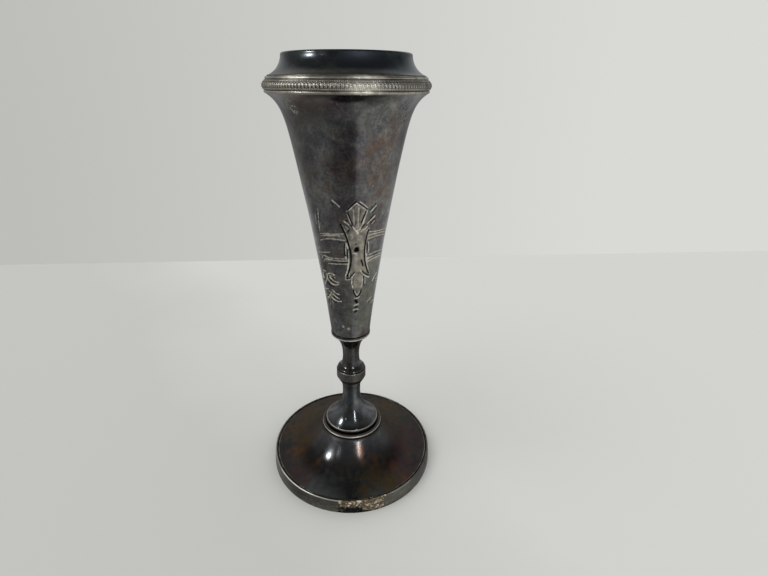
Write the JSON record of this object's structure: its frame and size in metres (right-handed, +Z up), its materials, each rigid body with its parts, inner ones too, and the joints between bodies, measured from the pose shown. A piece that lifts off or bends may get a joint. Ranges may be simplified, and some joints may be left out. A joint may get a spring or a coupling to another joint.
{
  "type": "bud vase",
  "caption": "Tall trumpet-shaped bud vase of tarnished silver plate, with a milled band under its mouth, a knopped stem and a broad spreading foot.",
  "frame": {"origin": "on the vase's axis, at the table under the foot", "axes": "+Z up the vase's axis, -Y towards the engraved front"},
  "size_m": [0.07, 0.07, 0.1636],
  "materials": {
    "foot_skirt": "dull tarnished silver plate on nickel silver",
    "foot_spread": "brown-black tarnished silver plate on nickel silver",
    "bell_ring_lower": "rubbed silver plate",
    "bell_ring_upper": "rubbed silver plate",
    "stem_bell": "glossy blue-black tarnished silver plate on nickel silver",
    "knop_girdle": "dull tarnished silver plate on nickel silver",
    "stem_neck": "glossy black tarnished silver plate on nickel silver",
    "seat_plate": "rubbed silver plate",
    "trumpet_body": "mottled tarnished silver plate with bright-cut engraving",
    "band_wire_lower": "rubbed silver plate",
    "milled_strip": "milled silver plate, dark in the hollows",
    "band_wire_upper": "rubbed silver plate",
    "mouth_collar": "glossy blue-black tarnished silver plate on nickel silver",
    "tie_rod": "plain steel",
    "rod_washer": "plain steel",
    "rod_nut": "plain steel"
  },
  "bodies": {
    "root": {"foot_skirt": "foot_skirt", "foot_spread": "foot_spread", "bell_ring_lower": "bell_ring_lower", "bell_ring_upper": "bell_ring_upper", "stem_bell": "stem_bell", "knop_girdle": "knop_girdle", "stem_neck": "stem_neck", "seat_plate": "seat_plate", "trumpet_body": "trumpet_body", "band_wire_lower": "band_wire_lower", "milled_strip": "milled_strip", "band_wire_upper": "band_wire_upper", "mouth_collar": "mouth_collar", "tie_rod": "tie_rod", "rod_washer": "rod_washer", "rod_nut": "rod_nut"}
  },
  "joints": []
}
